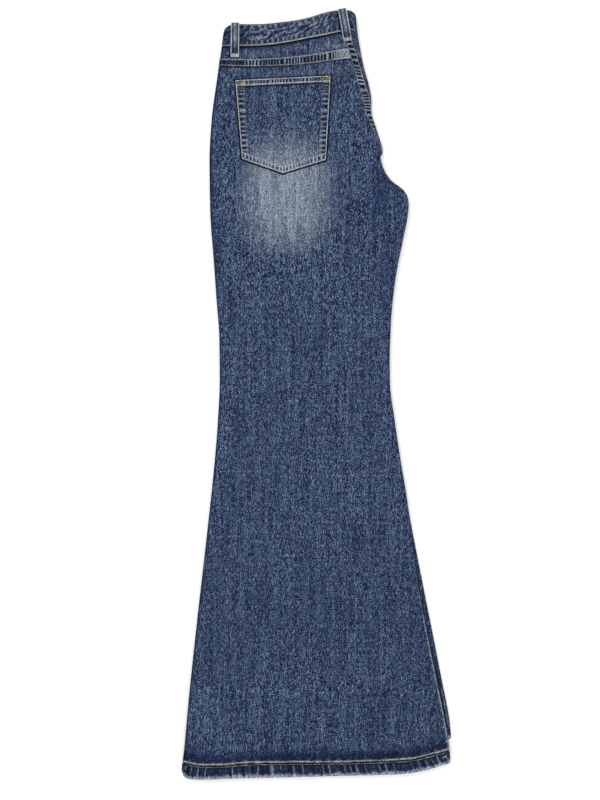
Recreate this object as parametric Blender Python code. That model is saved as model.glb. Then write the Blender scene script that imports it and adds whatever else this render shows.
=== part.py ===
# Flared jeans folded in half lengthwise, fronts inside, and laid flat with the left back on top.
# The garment lies along Y with its waist toward +Y. The fold at the seat and the inseams are on +X,
# the outseams on -X, and the underside rests on Z = 0. Sizes are in millimetres, and down is what a
# tape reads from the top of the centre-back loop toward the hems.
import math
from collections import namedtuple

import bmesh
import bpy
import numpy as np

MM = 0.001

# Thickness of the cloth where it has one, two or three plies
CLOTH = 1.2
BAND_CLOTH = 2.4
HEM_CLOTH = 2.6
LOOP_CLOTH = 2.0
POCKET_RISE = 0.5

# Gaps between pieces, and the slit inside the flattened waistband and hems
SEAM_GAP = 0.3
SEAT_GAP = 0.9
HEM_GAP = 0.5
SLIT = 1.0

# Felled seams stand up as laps along the seat and the foot of the yoke
LAP_WIDTH = 9.0
LAP_RISE = 0.6
LAP_STEP = 0.8
BESIDE_LAP = 1.5

# How far the cloth rounds over at the seat's fold and at the edges of a leg
FOLD_ROLL = 11.0
EDGE_ROLL = 6.0

# A front ends inside the fold, and its meeting face slopes away there
FRONT_TURN = 0.9
FRONT_RETREAT = 3.0
FRONT_EASE = 0.2
FRONT_SLOPE = 4.5
FRONT_DROP = 0.4

# Tape readings of the main lines, where they are straight
LENGTH = 1095
WAIST_DOWN = 54
YOKE_DOWN = 81
HIP_DOWN = 200
CROTCH_DOWN = 279
CALF_DOWN = 900
HEM_DOWN = 1072

# The lower leg's outseam lies this far inside the upper one
UNDER_INSET = 1.5

Side = namedtuple("Side", "down x")
Seam = namedtuple("Seam", "x down")
Turn = namedtuple("Turn", "down turn")
Height = namedtuple("Height", "down lower upper")
Trough = namedtuple("Trough", "x down to_x to_down half_width depth")
Draw = namedtuple("Draw", "share inset")
Loop = namedtuple("Loop", "name x down to_x to_down width")
Corner = namedtuple("Corner", "x down")
Rim = namedtuple("Rim", "roll cover middle meeting")


def rows(kind, *values):
    return [kind(*value) for value in values]


# The outline from above: the outseam on -X, the seat's fold and the inseams on +X
OUTSEAM = rows(
    Side, (22, -120), (27, -129), (32, -132), (57, -135.5), (102, -142), (159, -149.5), (216, -152.5),
    (287, -151.5), (358, -146.5), (414, -142.5), (471, -138.5), (528, -138), (585, -140.5), (642, -145),
    (755, -157), (869, -170), (982, -182), (1053, -188.5), (1085, -192), (1094, -188),
)
SEAT_FOLD = rows(
    Side, (2, 50), (9, 55.5), (31, 58), (57, 62), (88, 68.5), (102, 72.8), (130, 78), (145, 78),
    (173, 85), (204, 93.5), (211, 90.5), (230, 96), (244, 105.5), (258, 124), (268, 129.5),
)
LEG_EDGE = rows(
    Side, (279, 131), (295, 129.5), (330, 122.5), (386, 112), (443, 106), (500, 104), (528, 104.2),
    (585, 111), (642, 119.5), (700, 129),
)
UPPER_INSEAM = rows(
    Side, (757, 136), (814, 144), (881, 156), (951, 170), (1010, 182), (1049, 188.5), (1074, 190.5),
)
LOWER_INSEAM = rows(
    Side, (727, 133.5), (784, 144.5), (840, 155.5), (897, 167), (954, 178), (1011, 189), (1040, 192),
)

# Lines across the garment
WAIST_TOP = rows(
    Seam, (-120, 22.5), (-86, 22.5), (-41, 18.5), (-15, 14), (12, 6), (29, 3), (47, 2.5), (56, 6.5),
)
WAIST_SEAM = rows(
    Seam, (-136, 54), (-104, 54), (-72, 52.5), (-42, 48.5), (-9, 42), (12, 38), (34, 33.5), (47, 31),
    (58, 34),
)
YOKE_SEAM = rows(Seam, (-137, 81), (-98, 82.5), (-42, 81), (2, 77), (34, 72.5), (50, 71), (66, 73.5))
HEM_SEAM = rows(
    Seam, (-189, 1072), (-172, 1075), (-160, 1076.5), (-136, 1076), (-89, 1072.5), (33, 1071.5),
    (120, 1068.5), (142, 1066), (163, 1060.5), (188, 1054.5),
)
HEM_EDGE = rows(
    Seam, (-191, 1087), (-185, 1094), (-160, 1096), (-129, 1094.5), (-41, 1092.5), (33, 1090.5),
    (120, 1088), (153, 1083), (174, 1077), (190, 1072.5),
)
UNDER_HEM_SEAM = rows(
    Seam, (-188, 1058), (-160, 1066), (-89, 1064), (33, 1059), (120, 1048), (160, 1034), (192, 1020),
)
UNDER_HEM_EDGE = rows(
    Seam, (-188, 1076), (-160, 1084), (-89, 1082), (33, 1077), (120, 1066), (160, 1052), (192, 1038),
)

# How far round the fold the seat's seam lies, from 0 on top to 1 at half height
SEAT_SEAM = rows(
    Turn, (30, 0), (40, 0.02), (66, 0.24), (88, 0.34), (108, 0.34), (139, 0.69), (170, 1), (200, 1.3),
    (212, 1.5), (240, 1.45), (258, 1.2), (268, 1),
)

# The height of each half of the stack
HEIGHTS = rows(
    Height, (54, 5.2, 5.2), (250, 5.2, 5.2), (500, 4.6, 4.6), (940, 4.7, 4.7), (1010, 6.2, 4.9),
    (1068, 6.2, 5.6),
)
WAIST_TUBE = (2 * BAND_CLOTH + SLIT, 2 * BAND_CLOTH + SLIT)
HEM_TUBE = (2 * HEM_CLOTH + SLIT, 2 * HEM_CLOTH + SLIT)
CROWN = 0.8
CROWN_EDGE = 14.0

# The largest hollows in the top cloth
TROUGHS = rows(
    Trough, (88, 222, 40, 350, 26, 0.9), (104, 300, 70, 460, 20, 0.6), (-140, 130, -128, 330, 18, 0.6),
    (-126, 470, -132, 640, 18, 0.5), (90, 560, 140, 900, 16, 0.5), (-60, 640, -110, 980, 24, 0.5),
    (-20, 760, 40, 1010, 24, 0.5), (-170, 1052, 150, 1046, 14, 0.7),
)

# The ends of the waistband and of a hem are drawn in where their cloth is turned
BAND_PROFILE = rows(Draw, (0, 0.5), (0.06, 0), (0.5, 0), (0.94, 0), (1, 0.3))
HEM_PROFILE = rows(Draw, (0, 0.2), (0.1, 0), (0.5, 0), (0.9, 0), (1, 0.6))

# The back pocket's corners: top left, top right, lower right, tip, lower left
POCKET = rows(Corner, (-115.5, 102.5), (20, 96), (13, 215.5), (-48, 234.5), (-106, 214))
POCKET_HEM = 8.0
POCKET_RIM = 12.0
POCKET_ACROSS = (0.28, 0.72)
POCKET_DOWNS = (0.3, 0.55, 0.75)

# Belt loops run from over the waistband's top edge to the yoke, bowed clear of the band between
LOOPS = rows(
    Loop, ("side_belt_loop", -115.8, 21, -116.2, 69.5, 12), ("centre_back_belt_loop", 36, 1, 44.3, 46.5, 12),
)
LOOP_SHARES = (0, 0.06, 0.2, 0.45, 0.62, 0.74, 0.85, 0.94, 1)
LOOP_BOWED = 0.85
LOOP_BOW = 1.2
LOOP_EDGE = 0.5

# Rows of cloth down the garment
YOKE_ROWS = (WAIST_DOWN, 62, YOKE_DOWN - LAP_WIDTH - LAP_STEP, YOKE_DOWN - LAP_WIDTH, 76, YOKE_DOWN)
FRONT_TOP_ROWS = (WAIST_DOWN, 68)
HIP_ROWS = (
    YOKE_DOWN, 92, 110, 127, 142, 156, 173, 190, 204, 211, 221, 230, 239, 247, 254, 261, 268, CROTCH_DOWN,
)
UPPER_LEG_ROWS = (
    293, 312, 335, 362, 392, 425, 460, 500, 545, 590, 640, 700, 757, 814, 870, 925, 975, 1010, 1035, 1056,
    1066, HEM_DOWN,
)
LOWER_LEG_ROWS = (295, 330, 386, 443, 500, 585, 670, 727, 784, 840, 897, 940, 990, 1030, HEM_DOWN)

# Columns of cloth across the flat part, and steps round an edge
NEAR_EDGE = 24.0
FLAT_COLUMNS = [("between", share) for share in (0.13, 0.28, 0.43, 0.58, 0.73, 0.87)]
FLAT_COLUMNS.append(("right", NEAR_EDGE))
BESIDE_SHARES = (0, 0.35, 0.7)
LAP_COLUMNS = (LAP_WIDTH + LAP_STEP, LAP_WIDTH, 6, 3, 0)
RIM_STEPS = 3
FOLD_STEPS = 6


def smooth(table, place):
    """Reads a two-column table by a curve that keeps its corners and never overshoots."""
    at = np.array([row[0] for row in table], float)
    value = np.array([row[1] for row in table], float)
    if place <= at[0] or place >= at[-1]:
        return float(np.interp(place, at, value))
    slope = np.diff(value) / np.diff(at)
    bend = np.zeros(len(at))
    for i in range(1, len(at) - 1):
        if slope[i - 1] * slope[i] > 0:
            bend[i] = 2 * slope[i - 1] * slope[i] / (slope[i - 1] + slope[i])
    bend[0], bend[-1] = slope[0], slope[-1]
    i = int(np.searchsorted(at, place, side="right")) - 1
    span = at[i + 1] - at[i]
    t = (place - at[i]) / span
    return float(
        value[i] * (1 + 2 * t) * (1 - t) ** 2
        + bend[i] * span * t * (1 - t) ** 2
        + value[i + 1] * t * t * (3 - 2 * t)
        - bend[i + 1] * span * t * t * (1 - t)
    )


def eased(share):
    share = min(max(share, 0), 1)
    return share * share * (3 - 2 * share)


def steps(start, end, count):
    return [start + (end - start) * i / count for i in range(count + 1)]


def heights(down):
    at = [row.down for row in HEIGHTS]
    lower = np.interp(down, at, [row.lower for row in HEIGHTS])
    upper = np.interp(down, at, [row.upper for row in HEIGHTS])
    return float(lower), float(upper)


def hollow(x, down):
    """How deep the troughs are at a place on the top cloth."""
    depth = 0
    for trough in TROUGHS:
        run = (trough.to_x - trough.x, trough.to_down - trough.down)
        along = ((x - trough.x) * run[0] + (down - trough.down) * run[1]) / (run[0] ** 2 + run[1] ** 2)
        nearest = min(max(along, 0), 1)
        away = math.hypot(x - trough.x - nearest * run[0], down - trough.down - nearest * run[1])
        depth += trough.depth * eased(1 - away / trough.half_width)
    return depth


def round_rim(turn, rim, inset=0.0):
    """A point of a rounded edge: turn 0 is on the cover side, 1 at half height, 2 on the meeting side."""
    angle = turn * math.pi / 2
    half = (rim.cover if turn <= 1 else rim.meeting) - rim.middle
    half -= math.copysign(inset, half)
    return rim.roll - (rim.roll - inset) * math.sin(angle), rim.middle + half * abs(math.cos(angle))


def quarter_length(rim):
    return math.pi / 2 * math.hypot(rim.roll, rim.cover - rim.middle) / math.sqrt(2)


class Half:
    """One half of the folded garment, a back that covers its front. The upper is the wearer's left."""

    def __init__(self, name, upper):
        self.name = name
        self.upper = upper
        self.inset = 0 if upper else UNDER_INSET
        self.fold_and_inseam = SEAT_FOLD + LEG_EDGE + (UPPER_INSEAM if upper else LOWER_INSEAM)
        self.hem_seam = HEM_SEAM if upper else UNDER_HEM_SEAM
        self.hem_edge = HEM_EDGE if upper else UNDER_HEM_EDGE
        self.panel_rows = HIP_ROWS + (UPPER_LEG_ROWS if upper else LOWER_LEG_ROWS)

    def left(self, down):
        return smooth(OUTSEAM, down) + self.inset

    def right(self, down):
        return smooth(self.fold_and_inseam, down)

    def panel_line(self, x, row):
        """The tape reading at x of a row of the panels, yokes or fronts."""
        marks = (WAIST_DOWN, YOKE_DOWN, HIP_DOWN, CALF_DOWN, HEM_DOWN)
        waist, yoke_foot, hem_seam = smooth(WAIST_SEAM, x), smooth(YOKE_SEAM, x), smooth(self.hem_seam, x)
        return float(np.interp(row, marks, (waist, yoke_foot, HIP_DOWN, CALF_DOWN, hem_seam)))

    def band_line(self, x, share):
        return smooth(WAIST_TOP, x) * (1 - share) + (smooth(WAIST_SEAM, x) - SEAM_GAP) * share

    def hem_line(self, x, share):
        return (smooth(self.hem_seam, x) + HEM_GAP) * (1 - share) + smooth(self.hem_edge, x) * share

    def place(self, side, reach, line, row):
        """Where a column meets a row, both of which bend. Reach is from a side, or a share between."""
        down = line(0, row)
        x = 0
        for _ in range(16):
            left, right = self.left(down), self.right(down)
            if side == "left":
                x = left + reach
            elif side == "right":
                x = right - reach
            else:
                x = left + EDGE_ROLL + reach * (right - left - EDGE_ROLL - FOLD_ROLL)
            down = line(x, row)
        return x, down

    def edge_rim(self, down, tube=None):
        """The rounding of a leg's edge, from its back to the side where the halves meet."""
        lower, upper = tube or heights(down)
        meeting = lower + SEAM_GAP if self.upper else lower
        cover = meeting + upper if self.upper else 0
        return Rim(EDGE_ROLL, cover, (cover + meeting) / 2, meeting)

    def fold_rim(self, down, tube=None):
        """The rounding of the seat's fold, from this half's back to the other's."""
        lower, upper = tube or heights(down)
        top = lower + SEAM_GAP + upper
        return Rim(FOLD_ROLL, top if self.upper else 0, top / 2, 0 if self.upper else top)

    def face(self, x, down):
        """The height of the back's outer face, with the top cloth's crown and troughs."""
        flat = self.edge_rim(down).cover
        if not self.upper:
            return flat
        left, right = self.left(down), self.right(down)
        clear = min(x - left - EDGE_ROLL, right - FOLD_ROLL - x)
        across = 2 * (x - left) / (right - left) - 1
        return flat + (CROWN * (1 - across**4) - hollow(x, down)) * eased(clear / CROWN_EDGE)


UPPER, LOWER = Half("left", True), Half("right", False)


class Trace:
    """One row of points across a half of the garment."""

    def __init__(self, half, line, row):
        self.half, self.line, self.row = half, line, row
        self.points = []

    def down_at(self, side):
        return self.half.place(side, 0, self.line, self.row)[1]

    def add(self, side, reach, height):
        """Height is a number, or a function of the place."""
        x, down = self.half.place(side, reach, self.line, self.row)
        self.points.append((x, down, height(x, down) if callable(height) else height))

    def turned(self, side, turns, rim, inset=0.0, retreat=0.0):
        for turn in turns:
            reach, height = round_rim(turn, rim, inset)
            self.add(side, reach + retreat, height)

    def flat(self, height, columns=FLAT_COLUMNS):
        for side, reach in columns:
            self.add(side, reach, height)


def seamed_edge(trace, rim, seam, inset, lift, lapped):
    """The edge at the seat's seam, its felled lap raised on the outer face, or at the plain inseam."""
    quarter = quarter_length(rim)
    lap_start = seam * quarter - LAP_WIDTH - LAP_STEP
    flat_end = min(lap_start, 0) - BESIDE_LAP
    beside = [flat_end + (lap_start - flat_end) * share for share in BESIDE_SHARES]

    def over(rise):
        return lambda x, down: trace.half.face(x, down) - inset + rise

    for along in beside + [seam * quarter - back for back in LAP_COLUMNS]:
        on_lap = along > lap_start + LAP_STEP / 2
        rise = LAP_RISE if lapped and on_lap and not inset else lift
        if along < 0:
            trace.add("right", rim.roll - along, over(rise))
        else:
            trace.turned("right", [along / quarter], rim, inset - rise)


def back_row(half, row, inset=0.0, foot_lap=False):
    """One row of a back's outer or inner face, from its outseam to the seat's seam or the inseam."""
    trace = Trace(half, half.panel_line, row)
    trace.turned("left", steps(1, 0, RIM_STEPS), half.edge_rim(trace.down_at("left")), inset)
    down = trace.down_at("right")
    folded = row < CROTCH_DOWN
    rim = half.fold_rim(down) if folded else half.edge_rim(down)
    seam = smooth(SEAT_SEAM, down) if folded else 1
    if half.upper:
        lift = LAP_RISE if foot_lap and not inset else 0
        trace.flat(lambda x, at: half.face(x, at) - inset + lift)
        seamed_edge(trace, rim, seam, inset, lift, folded)
    else:
        trace.flat(inset)
        end = 2 - seam - SEAT_GAP / quarter_length(rim) if folded else 1
        trace.turned("right", steps(0, end, FOLD_STEPS), rim, inset)
    return trace.points


def front_row(half, row, covered):
    """One row of a front's face under its back, or of its face where the two halves meet."""
    trace = Trace(half, half.panel_line, row)
    toward_cover = 1 if half.upper else -1
    clear = CLOTH + SEAM_GAP
    inset = clear if covered else 0
    folded = row < CROTCH_DOWN

    def below_seam(rim):
        return rim._replace(middle=rim.middle - toward_cover * SEAM_GAP)

    def height(x, down):
        if not covered:
            return half.edge_rim(down).meeting
        by_fold = folded and half.right(down) - x < NEAR_EDGE + 1
        return half.face(x, down) - toward_cover * (clear + FRONT_EASE * by_fold)

    inward = steps(1, 0 if covered else 2, RIM_STEPS)
    trace.turned("left", inward, below_seam(half.edge_rim(trace.down_at("left"))), inset)
    trace.flat(height)
    down = trace.down_at("right")
    if not folded:
        trace.turned("right", inward[::-1], below_seam(half.edge_rim(down)), inset)
    elif covered:
        turns = steps(0, FRONT_TURN, RIM_STEPS)
        trace.turned("right", turns, half.fold_rim(down), clear, FRONT_RETREAT)
    else:
        end, _ = round_rim(FRONT_TURN, half.fold_rim(down), clear)
        for share in steps(0, 1, RIM_STEPS):
            slope = toward_cover * FRONT_DROP * share * share
            reach = end + FRONT_RETREAT + FRONT_SLOPE * (1 - share)
            trace.add("right", reach, half.edge_rim(down).meeting + slope)
    return trace.points


def edge_ring(half, share, inset):
    """A closed row round a flattened tube with rounded edges, as a leg's hem is."""
    trace = Trace(half, half.hem_line, share)
    rim = half.edge_rim(0, HEM_TUBE)
    inward = math.copysign(inset, rim.middle - rim.cover)
    trace.turned("left", steps(1, 0, RIM_STEPS), rim, inset)
    trace.flat(rim.cover + inward)
    trace.turned("right", steps(0, 2, 2 * RIM_STEPS), rim, inset)
    trace.flat(rim.meeting - inward, FLAT_COLUMNS[::-1])
    trace.turned("left", steps(2, 1, RIM_STEPS)[:-1], rim, inset)
    return trace.points


def band_ring(share, inset, fold_inset):
    """A closed row round the folded waistband: over the top, round the fold, back between the halves."""
    over, under = Trace(UPPER, UPPER.band_line, share), Trace(LOWER, LOWER.band_line, share)
    under.points = over.points
    upper_edge, lower_edge = UPPER.edge_rim(0, WAIST_TUBE), LOWER.edge_rim(0, WAIST_TUBE)
    fold = UPPER.fold_rim(0, WAIST_TUBE)
    over.turned("left", steps(1, 0, RIM_STEPS), upper_edge, inset)
    over.flat(fold.cover - inset)
    over.turned("right", steps(0, 2, FOLD_STEPS), fold, inset)
    under.flat(inset, FLAT_COLUMNS[::-1])
    under.turned("left", steps(0, 2, FOLD_STEPS), lower_edge, inset)
    under.flat(lower_edge.meeting - inset)
    over.turned("right", steps(2, 0, FOLD_STEPS), fold, fold_inset)
    over.flat(upper_edge.meeting + inset, FLAT_COLUMNS[::-1])
    over.turned("left", steps(2, 1, RIM_STEPS)[:-1], upper_edge, inset)
    return over.points


def to_world(x, down, height):
    return x * MM, (LENGTH / 2 - down) * MM, height * MM


def wall(name, outer, inner, material, closed=False):
    """A wall of cloth between two grids of rows, closed round each row for a ring."""
    shape = bmesh.new()
    grids = []
    for grid in (outer, inner):
        grids.append([[shape.verts.new(to_world(*place)) for place in row] for row in grid])
    columns = len(outer[0])
    around = [(i, (i + 1) % columns) for i in range(columns if closed else columns - 1)]
    for grid in grids:
        for first, second in zip(grid, grid[1:]):
            for i, j in around:
                shape.faces.new((first[i], first[j], second[j], second[i]))
    top, bottom = grids
    for end in (0, -1):
        for i, j in around:
            # A front's edge has a hollow shoulder, so each end is cut in triangles toward its middle
            near, far = (i, j) if i < columns // 2 else (j, i)
            shape.faces.new((top[end][near], top[end][far], bottom[end][far]))
            shape.faces.new((top[end][near], bottom[end][far], bottom[end][near]))
    if not closed:
        for side in (0, -1):
            for i in range(len(top) - 1):
                shape.faces.new((top[i][side], top[i + 1][side], bottom[i + 1][side], bottom[i][side]))
    bmesh.ops.recalc_face_normals(shape, faces=shape.faces)
    mesh = bpy.data.meshes.new(name)
    shape.to_mesh(mesh)
    shape.free()
    mesh.shade_smooth()
    mesh.set_sharp_from_angle(angle=math.radians(40))
    mesh.materials.append(material)
    bpy.context.scene.collection.objects.link(bpy.data.objects.new(name, mesh))


def denim(name, colour):
    material = bpy.data.materials.new(name)
    material.use_nodes = True
    shader = material.node_tree.nodes["Principled BSDF"]
    shader.inputs["Base Color"].default_value = (*colour, 1)
    shader.inputs["Roughness"].default_value = 0.9
    shader.inputs["Metallic"].default_value = 0
    return material


def parted(places):
    """Rows of one piece, drawn back by half a seam gap at its two ends."""
    return (places[0] + SEAM_GAP / 2, *places[1:-1], places[-1] - SEAM_GAP / 2)


def back_panel(half, material):
    places = parted(half.panel_rows)
    outer, inner = ([back_row(half, row, inset) for row in places] for inset in (0, CLOTH))
    wall(f"{half.name}_back_panel", outer, inner, material)


def yoke(half, material):
    lap_start = YOKE_DOWN - LAP_WIDTH
    outer = [back_row(half, row, foot_lap=row >= lap_start) for row in parted(YOKE_ROWS)]
    inner = [back_row(half, row, CLOTH) for row in parted(YOKE_ROWS)]
    wall(f"{half.name}_yoke", outer, inner, material)


def front_panel(half, material):
    places = parted(FRONT_TOP_ROWS + half.panel_rows)
    under_back, meeting = ([front_row(half, row, covered) for row in places] for covered in (True, False))
    wall(f"{half.name}_front_panel", under_back, meeting, material)


def hem(half, material):
    outer = [edge_ring(half, draw.share, draw.inset) for draw in HEM_PROFILE]
    inner = [edge_ring(half, draw.share, HEM_CLOTH) for draw in HEM_PROFILE]
    wall(f"{half.name}_hem", outer, inner, material, closed=True)


def waistband(material):
    whole = 2 * BAND_CLOTH + SLIT
    outer = [band_ring(draw.share, draw.inset, whole - draw.inset) for draw in BAND_PROFILE]
    inner = [band_ring(draw.share, BAND_CLOTH, whole - BAND_CLOTH) for draw in BAND_PROFILE]
    wall("waistband", outer, inner, material, closed=True)


def pocket(material):
    """The back pocket, made from the panel's points moved out, thicker where its edges are turned in."""
    top_left, top_right, low_right, tip, low_left = POCKET
    width = top_right.x - top_left.x
    height = low_left.down - top_left.down
    tip_share = (tip.x - low_left.x) / (low_right.x - low_left.x)
    rim, rim_step = POCKET_RIM / width, LAP_STEP / width
    top, foot, row_step = POCKET_HEM / height, 1 - POCKET_RIM / height, LAP_STEP / height
    left_middle, right_middle = POCKET_ACROSS
    across = (0, rim, rim + rim_step, left_middle, tip_share, right_middle, 1 - rim - rim_step, 1 - rim, 1)
    foot_x_at, foot_down_at = zip(low_left, tip, low_right)
    outer, inner = [], []
    for v in (0, top, top + row_step, *POCKET_DOWNS, foot - row_step, foot, 1):
        spots = []
        for u in across:
            foot_x = low_left.x + u * (low_right.x - low_left.x)
            foot_down = np.interp(foot_x, foot_x_at, foot_down_at)
            top_x = top_left.x + u * width
            top_down = top_left.down + u * (top_right.down - top_left.down)
            x, down = top_x + v * (foot_x - top_x), top_down + v * (float(foot_down) - top_down)
            turned_in = u <= rim or u >= 1 - rim or v <= top or v >= foot
            spots.append((x, down, UPPER.face(x, down) + SEAM_GAP, CLOTH + POCKET_RISE * turned_in))
        inner.append([(x, down, base) for x, down, base, _ in spots])
        outer.append([(x, down, base + thick) for x, down, base, thick in spots])
    wall("left_back_pocket", outer, inner, material)


def belt_loop(loop, material):
    """A strap over the waistband, bowed clear of it between its two ends."""
    band_top = UPPER.fold_rim(0, WAIST_TUBE).cover
    run = (loop.to_x - loop.x, loop.to_down - loop.down)
    length = math.hypot(*run)
    outer, inner = [], []
    for share in LOOP_SHARES:
        x, down = loop.x + run[0] * share, loop.down + run[1] * share
        rests = UPPER.face(x, down) + LAP_RISE if share >= LOOP_BOWED else band_top
        base = rests + SEAM_GAP + LOOP_BOW * math.sin(math.pi * min(share / LOOP_BOWED, 1))
        asides = steps(-loop.width / 2, loop.width / 2, 4)
        places = [(x + run[1] / length * aside, down - run[0] / length * aside) for aside in asides]
        edges = (LOOP_EDGE, 0, 0, 0, LOOP_EDGE)
        inner.append([(*place, base) for place in places])
        outer.append([(*place, base + LOOP_CLOTH - edge) for place, edge in zip(places, edges)])
    wall(loop.name, outer, inner, material)


for leftover in list(bpy.data.objects):
    bpy.data.objects.remove(leftover, do_unlink=True)

leg_denim = denim("leg_denim", (0.048, 0.072, 0.133))
worn_denim = denim("worn_denim", (0.079, 0.107, 0.163))
inner_denim = denim("inner_denim", (0.13, 0.16, 0.22))
hem_denim = denim("hem_denim", (0.052, 0.07, 0.118))

for each in (UPPER, LOWER):
    back_panel(each, leg_denim)
    yoke(each, worn_denim)
    front_panel(each, inner_denim)
    hem(each, hem_denim)
waistband(worn_denim)
pocket(worn_denim)
for strap in LOOPS:
    belt_loop(strap, worn_denim)
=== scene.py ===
# Flared jeans, folded in half lengthwise and laid flat: cloth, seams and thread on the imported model.
# Sizes are in millimetres. Down is a tape reading from the waist, and world Y is half the length less down.
import math

import bmesh
import bpy
import numpy as np
from mathutils import Matrix, Vector


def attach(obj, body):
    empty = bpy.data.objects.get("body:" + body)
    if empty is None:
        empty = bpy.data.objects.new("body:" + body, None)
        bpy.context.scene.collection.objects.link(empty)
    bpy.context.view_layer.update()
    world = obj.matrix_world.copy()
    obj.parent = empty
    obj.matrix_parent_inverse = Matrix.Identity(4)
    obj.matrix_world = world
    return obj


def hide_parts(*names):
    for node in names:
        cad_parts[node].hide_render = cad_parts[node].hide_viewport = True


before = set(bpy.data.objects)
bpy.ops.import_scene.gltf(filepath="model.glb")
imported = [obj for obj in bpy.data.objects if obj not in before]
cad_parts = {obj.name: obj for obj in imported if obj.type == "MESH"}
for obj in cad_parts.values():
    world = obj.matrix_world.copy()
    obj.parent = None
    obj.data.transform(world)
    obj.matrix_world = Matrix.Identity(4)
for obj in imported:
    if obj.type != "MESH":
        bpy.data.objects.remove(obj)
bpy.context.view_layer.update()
mm = 0.001

# How the stack is folded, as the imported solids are
stack = dict(
    length=1095, cloth=1.1, bandCloth=2.4, hemCloth=2.6, seamGap=0.3, seatGap=0.9, hemGap=0.5, slit=1.0,
    foldRoll=11, edgeRoll=6, underInset=1.5, insideFold=14, frontSlope=6, crown=0.8, crownEdge=14,
    lapWidth=9, lapRise=0.6, lapStep=0.8, seamReach=26,
    waistRow=54, yokeRow=81, hipRow=200, foldTo=268, legFrom=279, calfRow=900, hemRow=1072,
)
halfGap = stack["seamGap"] / 2
bandTube, hemTube = (2 * stack[name] + stack["slit"] for name in ("bandCloth", "hemCloth"))
bandTop, hemTop = 2 * bandTube + stack["seamGap"], 2 * hemTube + stack["seamGap"]
outline = dict(
    outseam=[(22, -120), (27, -129), (32, -132), (57, -135.5), (102, -142), (159, -149.5), (216, -152.5),
             (287, -151.5), (358, -146.5), (414, -142.5), (471, -138.5), (528, -138), (585, -140.5),
             (642, -145), (755, -157), (869, -170), (982, -182), (1053, -188.5), (1085, -192), (1094, -188)],
    fold=[(2, 50), (9, 55.5), (31, 58), (57, 62), (88, 68.5), (102, 72.8), (130, 78), (145, 78), (173, 85),
          (204, 93.5), (211, 90.5), (230, 96), (244, 105.5), (258, 124), (268, 129.5), (279, 131),
          (295, 129.5), (330, 122.5), (386, 112), (443, 106), (500, 104), (528, 104.2), (585, 111),
          (642, 119.5), (700, 129)],
    upperInseam=[(757, 136), (814, 144), (881, 156), (951, 170), (1010, 182), (1049, 188.5), (1074, 190.5)],
    lowerInseam=[(727, 133.5), (784, 144.5), (840, 155.5), (897, 167), (954, 178), (1011, 189), (1040, 192)],
    waistTop=[(-120, 22.5), (-86, 22.5), (-41, 18.5), (-15, 14), (12, 6), (29, 3), (47, 2.5), (56, 6.5)],
    waistSeam=[(-136, 54), (-104, 54), (-72, 52.5), (-42, 48.5), (-9, 42), (12, 38), (34, 33.5), (47, 31),
               (58, 34)],
    yokeSeam=[(-137, 81), (-98, 82.5), (-42, 81), (2, 77), (34, 72.5), (50, 71), (66, 73.5)],
    hemSeam=[(-189, 1072), (-172, 1075), (-160, 1076.5), (-136, 1076), (-89, 1072.5), (33, 1071.5),
             (120, 1068.5), (142, 1066), (163, 1060.5), (188, 1054.5)],
    hemEdge=[(-191.6, 1085), (-190, 1089.5), (-187, 1092.8), (-182, 1094.8), (-160, 1096), (-129, 1094.5),
             (-41, 1092.5), (33, 1090.5), (120, 1088), (153, 1083), (174, 1077), (190, 1072.5)],
    underHemSeam=[(-188, 1058), (-160, 1066), (-89, 1064), (33, 1059), (120, 1048), (160, 1034), (192, 1020)],
    underHemEdge=[(-188, 1076), (-160, 1084), (-89, 1082), (33, 1077), (120, 1066), (160, 1052), (192, 1038)],
    seatSeam=[(30, 0), (40, 0.02), (66, 0.24), (88, 0.34), (108, 0.34), (139, 0.69), (170, 1), (200, 1.3),
              (212, 1.5), (240, 1.45), (258, 1.2), (268, 1)],
    lowerHeight=[(54, 5.2), (250, 5.2), (500, 4.6), (940, 4.7), (1010, 6.2), (1068, 6.2)],
    upperHeight=[(54, 5.2), (250, 5.2), (500, 4.6), (940, 4.7), (1010, 4.9), (1068, 5.6)],
)
# Soft hollows and ridges of the top cloth: from, to, half width, depth
creases = [
    (88, 222, 40, 350, 26, 0.9), (104, 300, 70, 460, 20, 0.6), (-140, 130, -128, 330, 18, 0.6),
    (-126, 470, -132, 640, 18, 0.5), (90, 560, 140, 900, 16, 0.5), (-60, 640, -110, 980, 24, 0.5),
    (-20, 760, 40, 1010, 24, 0.5), (-170, 1052, 150, 1046, 14, 0.7), (60, 236, 10, 262, 11, -0.4),
    (108, 262, 66, 300, 10, -0.35), (-118, 360, -90, 560, 13, -0.3), (20, 520, 58, 742, 17, -0.3),
    (-76, 268, -58, 420, 15, 0.3), (118, 820, 156, 1000, 12, -0.35), (-168, 880, -150, 1030, 14, -0.3),
    (-10, 380, 14, 540, 12, 0.28), (70, 880, 96, 1040, 15, 0.3), (40, 112, 60, 190, 12, 0.3),
]


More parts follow.
